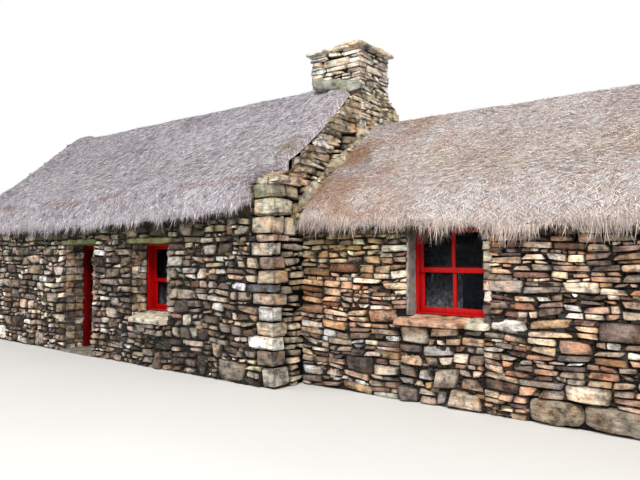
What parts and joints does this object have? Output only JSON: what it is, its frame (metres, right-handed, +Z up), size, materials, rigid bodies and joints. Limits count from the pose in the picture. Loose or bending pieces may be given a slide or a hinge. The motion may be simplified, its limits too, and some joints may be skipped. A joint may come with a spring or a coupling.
{
  "type": "stone cottage",
  "caption": "Thatched dry-stone cottage with a lower byre against its gable, a chimney between them, a plank door that swings inward, and small sash windows.",
  "frame": {"origin": "middle of the building's bounding box, on the ground", "axes": "+X along the front to the right, +Y from the front into the building, +Z up"},
  "size_m": [13.5, 4.7, 4.633],
  "materials": {
    "rubble": "matte",
    "byre_rubble": "matte",
    "chimney_stone": "matte",
    "flag": "matte",
    "thatch_old": "matte",
    "thatch_new": "matte",
    "lime_mortar": "matte",
    "red_paint": "gloss",
    "timber": "matte",
    "iron": "matte",
    "window_glass": "matte"
  },
  "bodies": {
    "cottage": {"house_front_wall_west": "rubble", "wall_over_door": "rubble", "house_front_wall_east": "rubble", "house_back_wall": "rubble", "west_gable": "rubble", "mid_gable": "rubble", "byre_end_gable": "byre_rubble", "west_gable_coping": "rubble", "mid_gable_coping": "rubble", "byre_end_coping": "byre_rubble", "chimney_breast": "rubble", "chimney_stack": "chimney_stone", "chimney_cap": "flag", "chimney_drip_stone": "flag", "door_lintel": "flag", "door_step": "flag", "house_floor": "flag", "door_frame": "red_paint", "door_pintles": "iron", "house_window_lintel": "flag", "house_window_sill": "flag", "house_window_frame": "red_paint", "house_window_glass": "window_glass", "house_couples": "timber", "house_purlins": "timber", "house_thatch_front": "thatch_old", "house_thatch_back": "thatch_old", "house_thatch_ridge": "thatch_old", "byre_front_wall": "byre_rubble", "byre_back_wall": "byre_rubble", "byre_window_lintel": "flag", "byre_window_sill": "flag", "byre_window_frame": "red_paint", "byre_window_glass": "window_glass", "byre_couples": "timber", "byre_purlins": "timber", "byre_thatch_front": "thatch_new", "byre_thatch_back": "thatch_new", "byre_thatch_ridge": "thatch_new", "byre_fillet_front": "lime_mortar", "byre_fillet_back": "lime_mortar"},
    "door": {"door_leaf": "red_paint", "door_hinge_straps": "iron"}
  },
  "joints": [
    {"name": "door_hinge", "type": "hinge", "parent": "cottage", "child": "door", "pos_m": [-3.484, -1.727, 0.85], "axis": [0, 0, 1], "range_deg": [-90, 0]}
  ]
}
